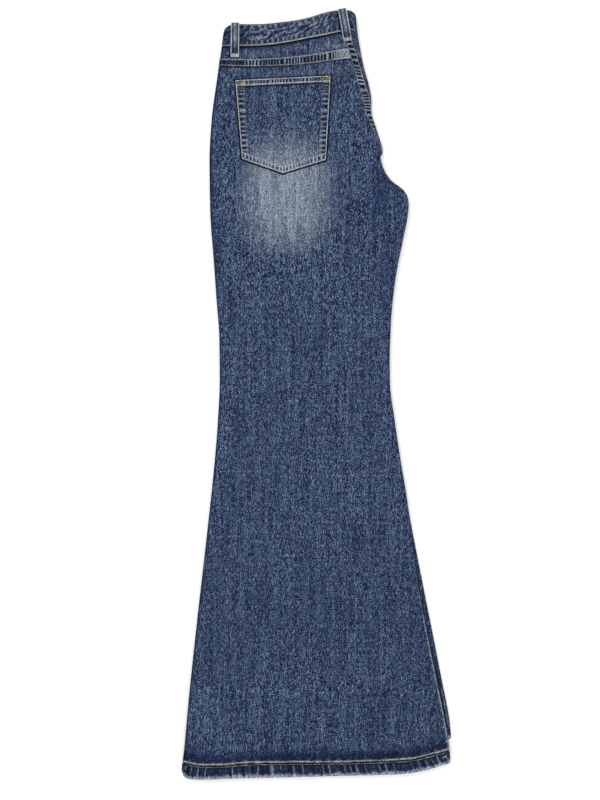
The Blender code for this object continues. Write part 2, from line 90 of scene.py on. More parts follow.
def curve(table, shift=0.0):
    # a smooth line through a table's points that keeps its corners and never overshoots
    at, value = np.array(table, float).T
    slope = np.diff(value) / np.diff(at)
    bend = np.zeros(len(at))
    for i in range(1, len(at) - 1):
        if slope[i - 1] * slope[i] > 0:
            bend[i] = 2 * slope[i - 1] * slope[i] / (slope[i - 1] + slope[i])
    bend[0], bend[-1] = slope[0], slope[-1]
    fine = np.unique(np.append(np.linspace(at[0], at[-1], int(2 * (at[-1] - at[0])) + 2), at))
    i = np.clip(np.searchsorted(at, fine, side="right") - 1, 0, len(at) - 2)
    span = at[i + 1] - at[i]
    t = (fine - at[i]) / span
    line = (value[i] * (1 + 2 * t) * (1 - t) ** 2 + bend[i] * span * t * (1 - t) ** 2
            + value[i + 1] * t * t * (3 - 2 * t) - bend[i + 1] * span * t * t * (1 - t))
    return lambda place: np.interp(place, fine, line + shift)


def eased(share):
    share = np.clip(share, 0, 1)
    return share * share * (3 - 2 * share)


def near(value, spot, reach, top=1.0):
    # 1 at a spot, falling to 0 past its reach
    return eased(top - np.abs(value - spot) / reach)


def spans(*stretches):
    # evenly spaced stretches, each from, to and how many points, joined end to end
    return np.concatenate([np.linspace(*stretch)[:-1] for stretch in stretches] + [[stretches[-1][1]]])


def wobble(place, step, seed):
    # an uneven smooth line between -1 and 1 that turns about every step
    knots = np.random.default_rng(seed).uniform(-1, 1, 2048)
    at = np.asarray(place, float) / step + 400
    i = np.floor(at).astype(int)
    return knots[i % 2048] + (knots[(i + 1) % 2048] - knots[i % 2048]) * eased(at - i)


def blotch(x, y, stepX, stepY, seed):
    # the same over a surface
    knots = np.random.default_rng(seed).uniform(-1, 1, (256, 256))
    atX, atY = np.asarray(x, float) / stepX + 60, np.asarray(y, float) / stepY + 60
    i, j = np.floor(atX).astype(int), np.floor(atY).astype(int)
    s, t = eased(atX - i), eased(atY - j)
    i, j = i % 255, j % 255
    first = knots[j, i] * (1 - s) + knots[j, i + 1] * s
    return first * (1 - t) + (knots[j + 1, i] * (1 - s) + knots[j + 1, i + 1] * s) * t


waistTop, waistSeam, yokeSeam, seatSeam, lowerHeight, upperHeight = (
    curve(outline[name]) for name in
    ("waistTop", "waistSeam", "yokeSeam", "seatSeam", "lowerHeight", "upperHeight"))


class Half:
    # one half of the fold: a back that covers its front; the upper one is the left
    def __init__(self, upper):
        self.upper = upper
        self.left = curve(outline["outseam"], 0 if upper else stack["underInset"])
        self.right = curve(outline["fold"] + outline["upperInseam" if upper else "lowerInseam"])
        self.hemSeam = curve(outline["hemSeam" if upper else "underHemSeam"])
        self.hemEdge = curve(outline["hemEdge" if upper else "underHemEdge"])

    def panelLine(self, x, row):
        marks = [stack[name] for name in ("waistRow", "yokeRow", "hipRow", "calfRow", "hemRow")]
        lines = [waistSeam(x), yokeSeam(x), stack["hipRow"], stack["calfRow"], self.hemSeam(x)]
        down = lines[0]
        for i in range(4):
            share = np.clip((row - marks[i]) / (marks[i + 1] - marks[i]), 0, 1)
            down = down + share * (lines[i + 1] - lines[i])
        return down

    def bandLine(self, x, share):
        return waistTop(x) * (1 - share) + (waistSeam(x) - stack["seamGap"]) * share

    def hemLine(self, x, share):
        return (self.hemSeam(x) + stack["hemGap"]) * (1 - share) + self.hemEdge(x) * share


upper, lower = Half(True), Half(False)


def settle(line, row, across):
    # where a row that bends meets a column that bends
    down = line(np.zeros_like(row), row)
    for _ in range(12):
        x = across(down)
        down = line(x, row)
    return x, down


def roundRim(turn, roll, cover, middle, meeting, inset):
    # turn 0 is on the cover side of a rounded edge, 1 at half height and 2 on the meeting side
    half = np.where(turn <= 1, cover, meeting) - middle
    half = half - np.sign(half) * inset
    angle = turn * math.pi / 2
    return roll - (roll - inset) * np.sin(angle), middle + half * np.abs(np.cos(angle))


def quarter(roll, half):
    return math.pi / 2 * np.hypot(roll, half) / math.sqrt(2)


def topHeight(down):
    return lowerHeight(down) + stack["seamGap"] + upperHeight(down)


def hollow(x, down):
    depth = 0
    for startX, startDown, endX, endDown, width, deep in creases:
        runX, runDown = endX - startX, endDown - startDown
        along = ((x - startX) * runX + (down - startDown) * runDown) / (runX**2 + runDown**2)
        along = np.clip(along, 0, 1)
        away = np.hypot(x - startX - along * runX, down - startDown - along * runDown)
        depth = depth + deep * eased(1 - away / width)
    return depth


def face(x, down):
    # the height of the top cloth's outer face
    left, right = upper.left(down), upper.right(down)
    clear = np.minimum(x - left - stack["edgeRoll"], right - stack["foldRoll"] - x)
    across = 2 * (x - left) / (right - left) - 1
    relief = stack["crown"] * (1 - across**4) - hollow(x, down)
    return topHeight(down) + relief * eased(clear / stack["crownEdge"])


def foldedShare(row):
    # 1 where the seat is folded, 0 once the legs part
    return 1 - np.clip((row - stack["foldTo"]) / (stack["legFrom"] - stack["foldTo"]), 0, 1)


def spread(half, line, row, u, leftReach, rightReach, flatEnd):
    # u is -1 to 0 round the outseam's roll, 0 to 1 over the flat, and 1 to 2 round the other edge
    edge = stack["edgeRoll"]

    def across(down):
        left, right = half.left(down), half.right(down)
        flat = left + edge + u * (right - flatEnd - left - edge)
        return np.where(u < 0, left + leftReach, np.where(u > 1, right - rightReach, flat))

    return settle(line, row, across)


def seamSide(row, down, back, lift):
    # how far in from the silhouette and below the flat face a place is that lies back from the seam
    top, meeting = topHeight(row), lowerHeight(row) + stack["seamGap"]
    found = []
    for roll, middle, foot, seam in ((stack["foldRoll"], top / 2, 0 * top, seatSeam(down)),
                                     (stack["edgeRoll"], (top + meeting) / 2, meeting, 1.0)):
        length = quarter(roll, top - middle)
        along = seam * length - back
        reach, height = roundRim(np.clip(along / length, 0, 2), roll, top, middle, foot, -lift)
        found.append((reach - np.minimum(along, 0), height - top))
    folded = foldedShare(row)
    return [folded * first + (1 - folded) * second for first, second in zip(*found)]


def topForm(u, row, lift=0.0):
    # the left back's outer face, whose far edge runs down to the seat's seam or the inseam
    u, row, lift = np.broadcast_arrays(np.asarray(u, float), np.asarray(row, float), lift)
    _, edgeDown = settle(upper.panelLine, row, upper.right)
    reach, drop = seamSide(row, edgeDown, (2 - np.clip(u, 1, 2)) * stack["seamReach"], lift)
    flatEnd, _ = seamSide(row, edgeDown, stack["seamReach"], lift)
    top, meeting = topHeight(row), lowerHeight(row) + stack["seamGap"]
    middle = (top + meeting) / 2
    rollReach, rollHeight = roundRim(-np.clip(u, -1, 0), stack["edgeRoll"], top, middle, meeting, -lift)
    x, down = spread(upper, upper.panelLine, row, u, rollReach, reach, flatEnd)
    drop = np.where(u < 0, rollHeight - top, np.where(u > 1, drop, lift))
    return x, down, face(x, down) + drop


def lowForm(u, row):
    # the right back's outer face, over the floor and then up the seat's fold or the inseam's roll
    u, row = np.broadcast_arrays(np.asarray(u, float), np.asarray(row, float))
    _, edgeDown = settle(lower.panelLine, row, lower.right)
    top, meeting = topHeight(row), lowerHeight(row)
    ground = 0 * top
    turn = np.clip(u - 1, 0, 1)
    foldEnd = 2 - seatSeam(edgeDown) - stack["seatGap"] / quarter(stack["foldRoll"], top / 2)
    rollReach, rollHeight = roundRim(-np.clip(u, -1, 0), stack["edgeRoll"], ground, meeting / 2, meeting, 0)
    foldReach, foldHeight = roundRim(turn * foldEnd, stack["foldRoll"], ground, top / 2, top, 0)
    edgeReach, edgeHeight = roundRim(turn, stack["edgeRoll"], ground, meeting / 2, meeting, 0)
    folded = foldedShare(row)
    reach = folded * foldReach + (1 - folded) * edgeReach
    flatEnd = folded * stack["foldRoll"] + (1 - folded) * stack["edgeRoll"]
    x, down = spread(lower, lower.panelLine, row, u, rollReach, reach, flatEnd)
    high = folded * foldHeight + (1 - folded) * edgeHeight
    return x, down, np.where(u < 0, rollHeight, np.where(u > 1, high, 0))


def frontForm(half, u, row):
    # a front's face where the halves meet, rounded at the outseam and the inseam
    u, row = np.broadcast_arrays(np.asarray(u, float), np.asarray(row, float))
    gap = stack["seamGap"]
    meeting = lowerHeight(row) + (gap if half.upper else 0)
    cover = topHeight(row) if half.upper else 0 * row
    middle = (cover + meeting) / 2 + (-gap if half.upper else gap)
    turn = 2 + np.where(u < 0, u, -np.clip(u - 1, 0, 1))
    reach, height = roundRim(turn, stack["edgeRoll"], cover, middle, meeting, 0)
    folded = foldedShare(row)
    inside = stack["insideFold"] - stack["frontSlope"] * np.clip(u - 1, 0, 1)
    edge = folded * inside + (1 - folded) * reach
    flatEnd = folded * stack["insideFold"] + (1 - folded) * stack["edgeRoll"]
    x, down = spread(half, half.panelLine, row, u, reach, edge, flatEnd)
    edgeHeight = folded * meeting + (1 - folded) * height
    return x, down, np.where(u < 0, height, np.where(u > 1, edgeHeight, meeting))


def toWorld(x, down, height):
    return np.stack([x * mm, (stack["length"] / 2 - down) * mm, height * mm], -1)


def addPiece(mesh, material):
    # a mesh as a piece of the one body, under the mesh's own name
    mesh.shade_smooth()
    mesh.materials.append(material)
    piece = bpy.data.objects.new(mesh.name, mesh)
    bpy.context.scene.collection.objects.link(piece)
    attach(piece, "root")
    return piece


def clothSheet(name, places, marks, material, thick=0.0, flip=False, ring=False):
    # bends a bmesh grid into the places given row by row, and keeps each mark as an attribute of its points
    weld = 2e-6
    rows, columns = places[0].shape
    shape = bmesh.new()
    bmesh.ops.create_grid(shape, x_segments=columns - 1, y_segments=rows - 1, size=1)
    mesh = bpy.data.meshes.new(name)
    shape.to_mesh(mesh)
    shape.free()
    flat = np.empty(len(mesh.vertices) * 3)
    mesh.vertices.foreach_get("co", flat)
    flat = flat.reshape(-1, 3)
    column = np.rint((flat[:, 0] + 1) / 2 * (columns - 1)).astype(int)
    row = np.rint((1 - flat[:, 1]) / 2 * (rows - 1)).astype(int)
    mesh.vertices.foreach_set("co", toWorld(*places)[row, column].ravel())
    for mark, values in marks.items():
        values = np.broadcast_to(values, (rows, columns))[row, column].astype(float)
        mesh.attributes.new(mark, "FLOAT", "POINT").data.foreach_set("value", values)
    if flip or ring:
        shape = bmesh.new()
        shape.from_mesh(mesh)
        if ring:
            edge = [vert for vert in shape.verts if vert.is_boundary]
            bmesh.ops.remove_doubles(shape, verts=edge, dist=weld)
            bmesh.ops.recalc_face_normals(shape, faces=shape.faces)
        if flip:
            bmesh.ops.reverse_faces(shape, faces=shape.faces)
        shape.to_mesh(mesh)
        shape.free()
    piece = addPiece(mesh, material)
    if thick:
        wall = piece.modifiers.new("thickness", "SOLIDIFY")
        wall.thickness = thick * mm
        wall.offset = -1
    return piece


# Shader sockets as numbers
class Value:
    def __init__(self, look, socket):
        self.look, self.socket = look, socket

    def math(self, operation, *others, clamp=False):
        settings = dict(operation=operation, use_clamp=clamp)
        return self.look.node("ShaderNodeMath", settings, {i: v for i, v in enumerate((self, *others))})

    def __add__(self, other): return self.math("ADD", other)
    def __radd__(self, other): return self.math("ADD", other)
    def __mul__(self, other): return self.math("MULTIPLY", other)
    def __rmul__(self, other): return self.math("MULTIPLY", other)
    def __sub__(self, other): return self.math("SUBTRACT", other)
    def __pow__(self, other): return self.math("POWER", other)

    def __rsub__(self, other):
        return self.look.node("ShaderNodeMath", dict(operation="SUBTRACT"), {0: other, 1: self})

    def clamped(self): return self.math("ADD", 0.0, clamp=True)
    def above(self, other): return self.math("MAXIMUM", other)

    def ramp(self, low, high, first=0.0, last=1.0):
        settings = dict(interpolation_type="SMOOTHSTEP")
        return self.look.node("ShaderNodeMapRange", settings, {0: self, 1: low, 2: high, 3: first, 4: last})


class Look:
    # one material and its nodes
    def __init__(self, name, roughness, sheen=0.0):
        self.material = bpy.data.materials.new(name)
        self.material.use_nodes = True
        self.nodes, self.links = self.material.node_tree.nodes, self.material.node_tree.links
        self.shader = self.nodes["Principled BSDF"]
        self.shader.inputs["Roughness"].default_value = roughness
        self.shader.inputs["Specular IOR Level"].default_value = 0.1
        self.shader.inputs["Sheen Weight"].default_value = sheen
        self.shader.inputs["Sheen Roughness"].default_value = 0.5
        self.place = self.node("ShaderNodeTexCoord", {}, {}, "Object")

    def node(self, kind, settings=None, inputs=None, output=0):
        made = self.nodes.new(kind)
        for key, value in (settings or {}).items():
            setattr(made, key, value)
        for key, value in (inputs or {}).items():
            if isinstance(value, Value):
                self.links.new(value.socket, made.inputs[key])
            else:
                made.inputs[key].default_value = value
        return Value(self, made.outputs[output])

    def noise(self, scale, detail=2.0, turn=0.0):
        # grain as fine as scale says, in repeats a metre each way, turned first where it runs aslant
        place = self.place
        if turn:
            place = self.node("ShaderNodeMapping", {}, {"Vector": place, "Rotation": (0, 0, turn)})
        place = self.node("ShaderNodeMapping", {}, {"Vector": place, "Scale": scale})
        return self.node("ShaderNodeTexNoise", {"noise_dimensions": "3D"},
                         {"Vector": place, "Scale": 1.0, "Detail": detail, "Roughness": 0.5})

    def sides(self, place):
        # a place's x and y
        split = self.node("ShaderNodeSeparateXYZ", {}, {0: place})
        return split, Value(self, split.socket.node.outputs[1])

    def mark(self, name):
        return self.node("ShaderNodeAttribute", dict(attribute_name=name), {}, "Fac")

    def mix(self, share, first, second):
        settings = dict(data_type="RGBA", blend_type="MIX", clamp_factor=True)
        return self.node("ShaderNodeMix", settings, {0: share, 6: first, 7: second}, 2)

    def finish(self, colour, bump=None, strength=0.5, depth=0.0003):
        self.links.new(colour.socket, self.shader.inputs["Base Color"])
        if bump is not None:
            bent = self.node("ShaderNodeBump", {}, {"Height": bump, "Strength": strength, "Distance": depth})
            self.links.new(bent.socket, self.shader.inputs["Normal"])
        return self.material


def linear(red, green, blue):
    # a colour as a photograph states it, from 0 to 255
    shares = [part / 255 for part in (red, green, blue)]
    return tuple(((part + 0.055) / 1.055) ** 2.4 if part > 0.04 else part / 12.92 for part in shares) + (1.0,)


tints = dict(
    black=(5, 7, 12), deep=(11, 23, 54), low=(3, 6, 24), base=(8, 23, 54), high=(93, 115, 148),
    bright=(124, 140, 166), pale=(170, 178, 187),
    faded=(99, 111, 126), fadedLow=(44, 57, 78), fadedHigh=(156, 162, 169),
)
# Repeats a metre of each kind of grain, and how much each counts
weave = dict(
    slub=(760, 130, 300), grain=(1000, 780, 600), long=(190, 12, 100), fleck=(760, 150, 400),
    speck=(820, 520, 500), slubAmount=1.3, grainAmount=3.7, longAmount=0.85, middle=0.405, twill=1150,
    twillLean=0.62,
)
clothFinish = dict(roughness=0.92, sheen=0.05, bump=0.45, threadDepth=0.0004)


def denimWeave(look, contrast):
    # slubs, grain and long streaks as one value round a half, light specks, and the height of the threads
    slub = look.noise(weave["slub"], 2.5) - 0.5
    grain = look.noise(weave["grain"], 1.5) - 0.5
    long = look.noise(weave["long"], 2.0) - 0.5
    varied = weave["slubAmount"] * slub + weave["grainAmount"] * grain + weave["longAmount"] * long
    specks = (look.noise(weave["speck"], 1.0).ramp(0.6, 0.76) * 0.5
              + look.noise(weave["fleck"], 1.0).ramp(0.57, 0.72) * 0.5)
    across, up = look.sides(look.place)
    twill = ((across + up * weave["twillLean"]) * (weave["twill"] * 2 * math.pi)).math("SINE")
    return weave["middle"] + contrast * varied, specks, slub * 1.2 + grain + twill * 0.16


def denim(name, fade=None, dark=None, contrast=1.0, scratches=None):
    # the washed blue cloth, with its pale wear, and its deep places from the piece's own marks, which are
    # darker dye and painted shade
    look = Look(name, clothFinish["roughness"], clothFinish["sheen"])
    tint = {key: linear(*colour) for key, colour in tints.items()}
    value, specks, height = denimWeave(look, contrast)
    faded = fade(look) if fade else None

    def washed(plain, worn):
        return look.mix(faded, tint[plain], tint[worn]) if fade else tint[plain]

    colour = look.mix(value.ramp(0.0, 0.5), washed("low", "fadedLow"), washed("base", "faded"))
    colour = look.mix(value.ramp(0.5, 1.05), colour, washed("high", "fadedHigh"))
    colour = look.mix(specks, colour, washed("bright", "fadedHigh"))
    pale = (look.mark("pale") * (0.75 + (value - 0.5) * 0.9)).clamped()
    deep = look.mark("deep")
    if dark:
        deep = deep.above(dark(look))
    deep = deep * (1.0 - (value - 0.5) * 0.6)
    colour = look.mix(deep.clamped() * 0.9, colour, tint["deep"])
    # past 1, deep runs on to near black, which is mostly painted shade
    colour = look.mix((deep - 1).clamped(), colour, tint["black"])
    colour = look.mix(pale, colour, tint["pale"])
    if scratches:
        colour = look.mix(scratches(look), colour, tint["pale"])
    return look.finish(colour, height, clothFinish["bump"], clothFinish["threadDepth"])


def patch(look, x, down, wide, high, first=0.42, last=1.4):
    # 1 inside and 0 outside a soft patch with square shoulders and an uneven rim
    squareness = 2.6
    centre = (-x * mm, -(stack["length"] / 2 - down) * mm, 0)
    moved = look.node("ShaderNodeVectorMath", dict(operation="ADD"), {0: look.place, 1: centre})
    scaled = look.node("ShaderNodeVectorMath", dict(operation="MULTIPLY"),
                       {0: moved, 1: (1000 / wide, 1000 / high, 0)})
    across, along = look.sides(scaled)
    away = (across.math("ABSOLUTE") ** squareness + along.math("ABSOLUTE") ** squareness) ** (1 / squareness)
    ragged = (look.noise((30, 16, 20), 3.0) - 0.5) * 0.35 + (look.noise((260, 60, 20), 2.0) - 0.5) * 0.22
    return (away + ragged).ramp(first, last, 1.0, 0.0) ** 1.6


pocketEdge = [(-115.5, 102.5), (20, 96), (13, 215.5), (-48, 234.5), (-106, 214)]


def pocketShadowLine(look):
    # a dark line round the pocket, from the distance past its nearest side: painted shadow of the pocket's
    # raised edge
    past = None
    for i, (x, down) in enumerate(pocketEdge):
        toX, toDown = pocketEdge[(i + 1) % 5]
        run = Vector((toX - x, -(toDown - down))).normalized()
        out = Vector((-run.y, run.x))
        offset = -(out.x * x + out.y * (stack["length"] / 2 - down)) * mm
        side = look.node("ShaderNodeVectorMath", dict(operation="DOT_PRODUCT"),
                         {0: look.place, 1: (out.x, out.y, 0)}, "Value") + offset
        past = side if past is None else past.above(side)
    return past.ramp(0.0008, 0.0036, 2.0, 0.0)


def seatFade(look):
    return patch(look, -44, 262, 64, 84)


def pocketFade(look):
    return patch(look, -40, 262, 74, 84) * 0.85


def hipScratches(look):
    # short light diagonal scratches by the yoke's seam, the hip and the hem's corner
    thin = look.noise((900, 60, 300), 1.0, 0.7).ramp(0.69, 0.76)
    other = look.noise((900, 70, 300), 1.0, -0.6).ramp(0.70, 0.77)
    where = patch(look, 30, 90, 44, 16) + patch(look, -118, 92, 26, 18) + patch(look, 168, 1030, 26, 40)
    return (thin + other).clamped() * where.clamped() * 0.75


legDenim = denim("legDenim", seatFade, pocketShadowLine, scratches=hipScratches)
seamDenim = denim("seamDenim", contrast=0.9)
pocketDenim = denim("pocketDenim", pocketFade)
wornDenim = denim("wornDenim", contrast=0.8)
innerDenim = denim("innerDenim", contrast=0.8)
print("materials made")


def pucker(along, spacing, seed, uneven=0.45):
    # the draw of a seam's thread, in ridges and dips of uneven length and depth
    phase = along / spacing + uneven * wobble(along, spacing * 2.3, seed)
    return np.sin(2 * math.pi * phase) * (0.72 + 0.28 * wobble(along, spacing * 3.1, seed + 1))


# The left back, over everything
legTop = dict(columns=74, rows=290, fineTo=88, fineFrom=1050, draw=0.35, drawStep=15, drawReach=16,
              darkHem=24)
u = spans((-1, 0, 7), (0, 1, legTop["columns"]), (1, 2, 18))
v = spans((stack["yokeRow"] + halfGap, legTop["fineTo"], 7),
          (legTop["fineTo"], legTop["fineFrom"], legTop["rows"]),
          (legTop["fineFrom"], stack["hemRow"] - halfGap, 26))
uu, vv = np.meshgrid(u, v)
x, down, height = topForm(uu, vv)
fromHem, fromYoke = upper.hemSeam(x) - down, down - yokeSeam(x)
fromEdge, fromOutseam = (2 - uu) * stack["seamReach"], x - upper.left(down)
hemDraw = pucker(x + 0.25 * fromHem, legTop["drawStep"], 21)
height = height + legTop["draw"] * hemDraw * eased(1 - fromHem / legTop["drawReach"]) * eased((uu + 1) * 2)
# Dark above the hem, beside the outseam, at the crotch and along the inseam; painted shade on the outseam's
# roll and at the inseam's edge, and a painted shadow under the yoke
toSide = eased((-20 - x) / 60)
aboveHem = eased((legTop["darkHem"] + 2.5 * wobble(x, 21, 27) - fromHem) / 18)
yokeShadow = eased(1 - fromYoke / (3.2 + 1.6 * toSide))
besideOutseam = eased(1 - fromOutseam / 24) * eased((420 - down) / 90)
atCrotch = eased(1.1 - np.hypot((x - 97 + (down - 250) * 0.18) / 30, (down - 264) / 66))
atInseam = 0.9 * eased(1 - fromEdge / 3.5) * (fromEdge < 7) + 0.22 * eased(1 - (fromEdge - 6) / 26)
deep = (eased(-uu * 1.3) + 1.22 * aboveHem + (1.2 + 0.6 * toSide) * yokeShadow + 0.3 * besideOutseam
        + 0.75 * atCrotch + atInseam)
deep = deep + 0.12 * blotch(x, down, 60, 95, 23) + 0.13 * eased((down - 640) / 240)
# Pale on the hem's ridges, along the inseam's fold, under the yoke, and in a line along the hem's seam
onLeg = eased((down - 800) / 110)
pale = (0.32 * eased(1 - fromHem / 9) * eased(hemDraw)
        + 0.9 * onLeg * near(fromEdge, 2.8, 1.5, 1.15) * (0.7 + 0.3 * wobble(down, 7, 24))
        + 0.05 * near(fromYoke, 14, 14) * eased((x + 96) / 30))
hemWhite = near(fromHem, 2.1 + 0.3 * wobble(x, 9, 28), 1.1 + 0.4 * wobble(x, 6, 25), 1.3)
pale = pale + 0.85 * hemWhite * (0.75 + 0.25 * wobble(x, 2.2, 26))
# a dashed painted shadow along the hem's seam, where the hem steps up
deep = deep + 1.3 * eased(1.2 - fromHem / 0.8) * eased(0.6 + 1.5 * pucker(x, 5.2, 68))
deep = deep * (1 - 0.8 * onLeg * near(fromEdge, 3.2, 1.9)) * (1 - hemWhite)
leftBack = clothSheet("leftBack", (x, down, height), dict(deep=deep, pale=pale), legDenim,
                      stack["cloth"])
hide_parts("left_back_panel")

# The right back, flat on the floor and round the fold to the seat's seam
legUnder = dict(columns=46, rows=150)
u = spans((-1, 0, 7), (0, 1, legUnder["columns"]), (1, 2, 14))
v = np.linspace(stack["yokeRow"] + halfGap, stack["hemRow"] - halfGap, legUnder["rows"])
uu, vv = np.meshgrid(u, v)
x, down, height = lowForm(uu, vv)
# painted shade on the outseam's roll and at the far end of its turn up the fold and the inseam's roll
deep = 0.5 * eased(-uu) + 0.5 * near(uu, 2, 0.07)
rightBack = clothSheet("rightBack", (x, down, height), dict(deep=deep, pale=0 * deep), seamDenim,
                       stack["cloth"], flip=True)
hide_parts("right_back_panel")

# Yokes, the left one with a felled lap along its foot
yokeTop = dict(columns=190, rise=0.6, pucker=0.34, spacing=4.7, uneven=0.58)
lapStart = stack["yokeRow"] - stack["lapWidth"]
lapFoot = lapStart - stack["lapStep"]


def yokeForm(u, row):
    # the yoke's places, how much of it is lap, how far across the lap, and the draw of the thread
    x, down, _ = topForm(u, row)
    onLap = eased((row - lapFoot) / stack["lapStep"])
    across = np.clip((row - lapStart) / stack["lapWidth"], 0, 1)
    draw = pucker(x, yokeTop["spacing"], 31, yokeTop["uneven"]) * eased(np.minimum(across, 1 - across) * 5)
    lift = onLap * (yokeTop["rise"] + yokeTop["pucker"] * draw)
    x, down, height = topForm(u, row, lift)
    return x, down, height, onLap, across, draw


u = spans((-1, 0, 6), (0, 1, yokeTop["columns"]), (1, 2, 24))
v = spans((stack["waistRow"] + halfGap, lapFoot, 14), (lapFoot, stack["yokeRow"] - halfGap, 17))
uu, vv = np.meshgrid(u, v)
x, down, height, onLap, across, draw = yokeForm(uu, vv)
fromBand = down - waistSeam(x)
rims = eased(1.15 - across / 0.12) + eased(1.15 - (1 - across) / 0.13)
plain = eased((x - 22) / 12)    # the lap has no posts beside the seat's seam
post = (0.78 + 0.22 * wobble(x, 5, 33)) * eased(draw * 1.6 - 0.42) * (1 - plain) * eased((x + 103) / 3)
lapPale = 0.92 * post + 0.6 * rims + 0.5 * plain
clothPale = (0.05 + 0.09 * blotch(x, down, 16, 9, 35)) * eased((fromBand - 4) / 6)
pale = onLap * lapPale + (1 - onLap) * clothPale
# dark in the lap's thread dips: darker dye that runs on to painted shade
lapDeep = 1.9 * eased(-draw * 1.2 + 0.45) * (1 - 0.85 * np.clip(rims, 0, 1)) * (1 - 0.7 * plain)
# painted shadows beside the two loops; then a painted shadow under the waistband, painted shade on the
# outseam's roll and a dark line just above the lap
loopShadow = 1.6 * near(x, -106.6, 2.6) + 0.9 * near(x, -123, 1.6)
deep = (onLap * lapDeep + 2.0 * eased(1 - (fromBand - 1.4) / 2.6) + 0.8 * eased(-uu * 1.3)
        + 0.8 * near(vv, 70.4, 1.3) + loopShadow * (down < 70))
leftYoke = clothSheet("leftYoke", (x, down, height), dict(deep=deep, pale=pale), wornDenim,
                      stack["cloth"])
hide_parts("left_yoke")

u = spans((-1, 0, 6), (0, 1, 40), (1, 2, 16))
uu, vv = np.meshgrid(u, np.linspace(stack["waistRow"] + halfGap, stack["yokeRow"] - halfGap, 14))
x, down, height = lowForm(uu, vv)
onBand = near(vv, 76, 5)
draw = pucker(x, 5.2, 37)
# the thread's draw as colour alone: darker dips, partly painted shade, and pale worn ridges
marks = dict(deep=0.4 * onBand * eased(-draw), pale=0.5 * onBand * eased(draw))
rightYoke = clothSheet("rightYoke", (x, down, height), marks, wornDenim, stack["cloth"],
                       flip=True)
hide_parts("right_yoke")

# The felled lap from the waist over the yoke and down the seat, until it turns under the fold
lap = dict(thick=0.5, rise=0.62, over=0.08, pucker=0.34, spacing=4.9, uneven=0.8, end=252, rows=300,
           columns=13)


def lapForm(share, row):
    # share runs from 0 at the lap's inner side to 1 at the seam
    share, row = np.broadcast_arrays(np.asarray(share, float), np.asarray(row, float))
    step = stack["lapStep"]
    crossing = eased(row - lapStart + 1) * eased((stack["yokeRow"] + step - row) / step)
    inward = np.minimum(share, 1 - share)
    draw = pucker(row * 0.985, lap["spacing"], 41, lap["uneven"]) * eased(inward * 5)
    lift = lap["rise"] * eased((inward + 0.03) * 16) + lap["over"] + lap["pucker"] * draw
    u = 2 - (1 - share) * stack["lapWidth"] / stack["seamReach"]
    x, down, height = topForm(u, row, lift + yokeTop["rise"] * crossing)
    return x, down, height, draw


rows = np.linspace(stack["waistRow"] + stack["seamGap"], lap["end"], lap["rows"])
ss, vv = np.meshgrid(np.linspace(0, 1, lap["columns"]), rows)
x, down, height, draw = lapForm(ss, vv)
innerRim, seamRim = eased(1 - ss / 0.14), 1 - ss
worn = 0.75 + 0.25 * wobble(vv, 14, 43)
fromTop = eased((170 - down) / 40)
pale = worn * (0.5 * innerRim + (0.45 + 0.6 * fromTop) * eased(1 - seamRim / 0.16)
               + (0.55 + 0.35 * fromTop) * eased(draw * 1.25 - 0.1))
rims = np.clip(innerRim + eased(1 - seamRim / 0.15), 0, 1)
# dark in the thread's dips: darker dye that runs on to painted shade
deep = 1.8 * eased(-draw * 1.1 + 0.5) * (1 - 0.8 * rims)
seatLap = clothSheet("seatLap", (x, down, height), dict(deep=deep, pale=pale), seamDenim,
                     lap["thick"])
print("panels, yokes and laps made")


# Waistband: a flattened ring, roped by its own seams
band = dict(rope=0.42, spacing=8.0, rows=34, width=30)


def ringSegment(half, side, count, turns=None, flatAt=None, back=False, cover=0, middle=0, meeting=0, roll=0):
    return dict(half=half, side=side, count=count, turns=turns, flatAt=flatAt, back=back,
                rim=(roll, cover, middle, meeting))


def ringPlaces(segments, line, shares, inset, foldInset):
    # columns of a ring, segment by segment, each row drawn in by its own inset
    found = []
    edge = stack["edgeRoll"]
    for part in segments:
        half, roll = part["half"], part["rim"][0]
        depth = (foldInset if part["back"] else inset)[:, None]
        if part["turns"]:
            turn = np.linspace(*part["turns"], part["count"])[None, :]
            reach, height = roundRim(turn, *part["rim"], depth)
            if part["side"] == "left":
                across = lambda down: half.left(down) + reach
            else:
                across = lambda down: half.right(down) - reach
        else:
            share = np.linspace(0, 1, part["count"] + 2)[None, 1:-1]
            share = share if part["side"] == "out" else 1 - share
            height = part["flatAt"](depth) + 0 * share
            across = lambda down: (half.left(down) + edge
                                   + share * (half.right(down) - half.left(down) - edge - roll))
        x, down = settle(line, shares[:, None] + 0 * height, across)
        found.append((x, down, height))
    return [np.concatenate([part[i] for part in found], 1) for i in range(3)]


def bandSegments(fine):
    # over the top, round the fold, along the floor, round the outseam, and back between the halves
    foot = bandTube + stack["seamGap"]
    upperRim = dict(roll=stack["edgeRoll"], cover=bandTop, middle=(bandTop + foot) / 2, meeting=foot)
    lowerRim = dict(roll=stack["edgeRoll"], cover=0, middle=bandTube / 2, meeting=bandTube)
    foldRim = dict(roll=stack["foldRoll"], cover=bandTop, middle=bandTop / 2, meeting=0)
    flat = dict(roll=stack["foldRoll"])
    return [
        ringSegment(upper, "left", 6, (1, 0), **upperRim),
        ringSegment(upper, "out", fine, flatAt=lambda inset: bandTop - inset, **flat),
        ringSegment(upper, "right", 22, (0, 2), **foldRim),
        ringSegment(lower, "home", 40, flatAt=lambda inset: inset, **flat),
        ringSegment(lower, "left", 9, (0, 2), **lowerRim),
        ringSegment(lower, "out", 30, flatAt=lambda inset: bandTube - inset, **flat),
        ringSegment(upper, "right", 9, (2, 0), back=True, **foldRim),
        ringSegment(upper, "home", 30, flatAt=lambda inset: foot + inset, **flat),
        ringSegment(upper, "left", 5, (2, 1), **upperRim),
    ]


